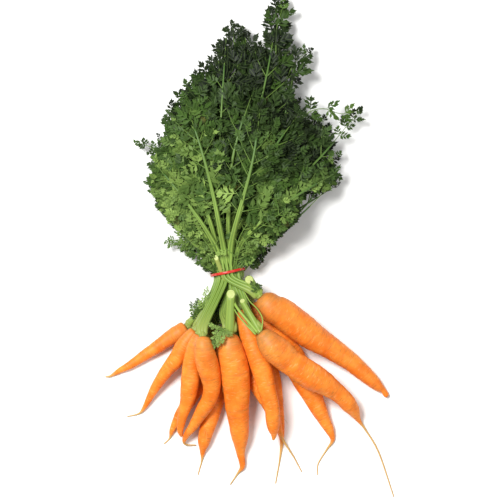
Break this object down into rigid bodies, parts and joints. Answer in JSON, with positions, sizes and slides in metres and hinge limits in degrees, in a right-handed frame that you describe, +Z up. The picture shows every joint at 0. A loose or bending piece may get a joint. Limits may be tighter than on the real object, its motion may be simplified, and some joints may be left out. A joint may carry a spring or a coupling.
{
  "type": "bunch of carrots",
  "caption": "Bunch of orange carrots with long tapered roots and feathery green tops, tied round the leaf stalks with a red rubber band, lying on its side.",
  "frame": {"origin": "on the surface below the middle of the bunch's bounding box", "axes": "+Y along the bunch from the root tips to the leaf tips, +Z up from the surface the bunch lies on, +X to the right seen from above with the leaves up"},
  "size_m": [0.3056, 0.5219, 0.0824],
  "materials": {
    "carrot_root": "smooth fresh carrot skin with fine rings and a dull sheen",
    "carrot_top": "fresh green leaf, matt, with paler green stalks",
    "rubber_band": "smooth red rubber, slightly glossy"
  },
  "bodies": {
    "root": {"carrot_root_01": "carrot_root", "carrot_root_02": "carrot_root", "carrot_root_03": "carrot_root", "carrot_root_04": "carrot_root", "carrot_root_05": "carrot_root", "carrot_root_06": "carrot_root", "carrot_root_07": "carrot_root", "carrot_root_08": "carrot_root", "carrot_root_09": "carrot_root", "carrot_root_10": "carrot_root", "carrot_root_11": "carrot_root", "carrot_root_12": "carrot_root", "carrot_root_13": "carrot_root", "carrot_top_01": "carrot_top", "carrot_top_02": "carrot_top", "carrot_top_03": "carrot_top", "carrot_top_04": "carrot_top", "carrot_top_05": "carrot_top", "carrot_top_06": "carrot_top", "carrot_top_07": "carrot_top", "carrot_top_08": "carrot_top", "carrot_top_09": "carrot_top", "carrot_top_10": "carrot_top", "carrot_top_11": "carrot_top", "carrot_top_12": "carrot_top", "carrot_top_13": "carrot_top", "rubber_band": "rubber_band"}
  },
  "joints": []
}
